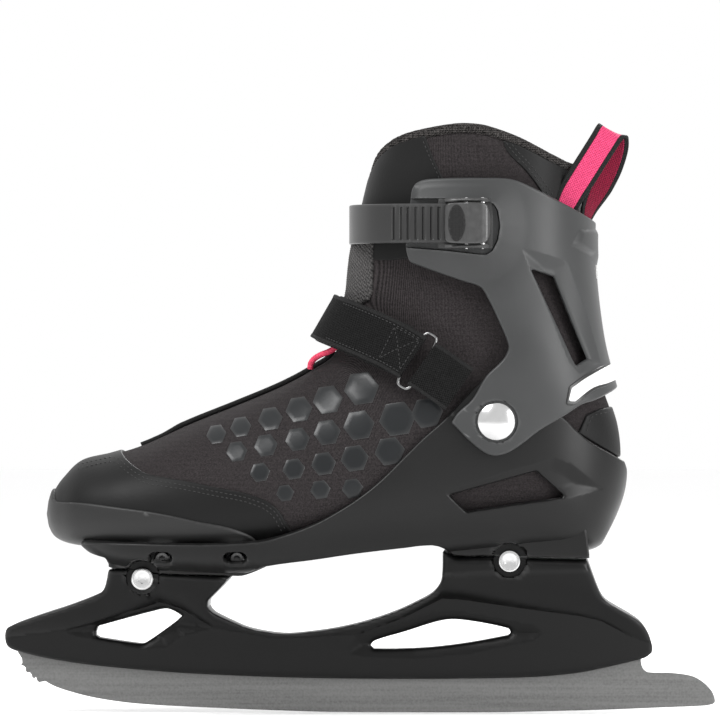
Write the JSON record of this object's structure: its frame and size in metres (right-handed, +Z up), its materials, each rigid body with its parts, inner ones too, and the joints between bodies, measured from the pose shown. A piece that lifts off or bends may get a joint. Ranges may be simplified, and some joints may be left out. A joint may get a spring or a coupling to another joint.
{
  "type": "ice skate",
  "caption": "Soft-boot recreational ice skate: steel blade in a moulded holder, hinged cuff, ratchet buckle, instep strap and fleece-lined boot.",
  "frame": {"origin": "on the ice, on the flat middle of the blade's running edge, in the blade's centre plane", "axes": "+Z up, -X towards the toe, -Y towards the outer side of the left foot"},
  "size_m": [0.3477, 0.126, 0.2904],
  "materials": {
    "blade_steel": "brushed matte steel, satin",
    "holder_plastic": "injection-moulded, satin black",
    "shell_plastic": "fine-grained injection-moulded, dark grey",
    "cuff_plastic": "fine-grained injection-moulded, graphite",
    "boot_fabric": "woven warm dark grey with slate prints",
    "tongue_mesh": "open spacer mesh",
    "foam": "felt-covered foam",
    "rubber": "matte moulded rubber",
    "synthetic_leather": "coated synthetic leather",
    "fleece": "brushed fleece",
    "webbing": "woven polyester, hook-and-loop",
    "pink_cord": "braided polyester cord",
    "pink_webbing": "woven webbing, pink centre and black edges",
    "badge_silver": "silvered plastic",
    "buckle_plastic": "glass-filled nylon, satin",
    "nylon": "smooth nylon",
    "bright_steel": "polished steel",
    "black_steel": "black oxide"
  },
  "bodies": {
    "skate": {"blade": "blade_steel", "blade_holder": "holder_plastic", "front_frame_bolt": "bright_steel", "front_frame_nut": "bright_steel", "rear_frame_bolt": "bright_steel", "rear_frame_nut": "bright_steel", "lower_shell": "shell_plastic", "sole_screw_1": "black_steel", "sole_screw_2": "black_steel", "sole_screw_3": "black_steel", "sole_screw_4": "black_steel", "boot_foot": "boot_fabric", "footbed": "foam", "toe_bumper": "rubber", "toe_cap": "synthetic_leather", "heel_patch": "synthetic_leather", "lateral_ankle_rivet": "bright_steel", "medial_ankle_rivet": "bright_steel", "lateral_hinge_washer": "nylon", "medial_hinge_washer": "nylon", "instep_strap": "webbing", "strap_ring": "bright_steel", "ring_webbing": "webbing", "lace_loop": "pink_cord"},
    "cuff_body": {"cuff": "cuff_plastic", "boot_leg": "boot_fabric", "fleece_collar": "fleece", "tongue": "tongue_mesh", "cuff_badge": "badge_silver", "rear_reflector": "badge_silver", "buckle_base": "buckle_plastic", "buckle_rivet_1": "black_steel", "buckle_rivet_2": "black_steel", "lever_pin": "bright_steel", "pawl_pin": "bright_steel", "strap_anchor_screw": "bright_steel", "pull_loop": "pink_webbing"},
    "lever": {"buckle_lever": "buckle_plastic", "lever_grip_pad": "nylon"},
    "pawl": {"buckle_pawl": "bright_steel"},
    "ladder": {"ladder_strap": "nylon"},
    "strap_flap": {"strap_end": "webbing"}
  },
  "joints": [
    {"name": "cuff_flex", "type": "hinge", "parent": "skate", "child": "cuff_body", "pos_m": [0.0668, 0, 0.143], "axis": [0, -1, 0], "range_deg": [-4, 6], "stiffness_Nm_per_rad": 12},
    {"name": "lever_lift", "type": "hinge", "parent": "cuff_body", "child": "lever", "pos_m": [0.0604, -0.0622, 0.2385], "axis": [0, 0, 1], "range_deg": [0, 75]},
    {"name": "pawl_release", "type": "hinge", "parent": "cuff_body", "child": "pawl", "pos_m": [0.0526, -0.0602, 0.2385], "axis": [0, 0, 1], "range_deg": [0, 8], "stiffness_Nm_per_rad": 0.05},
    {"name": "ladder_slide", "type": "slide", "parent": "cuff_body", "child": "ladder", "axis": [-1, 0, 0], "range_m": [0, 0.012]},
    {"name": "strap_peel", "type": "hinge", "parent": "skate", "child": "strap_flap", "pos_m": [0.0286, -0.0466, 0.1722], "axis": [0.5, 0, 0.866], "range_deg": [0, 90]}
  ]
}
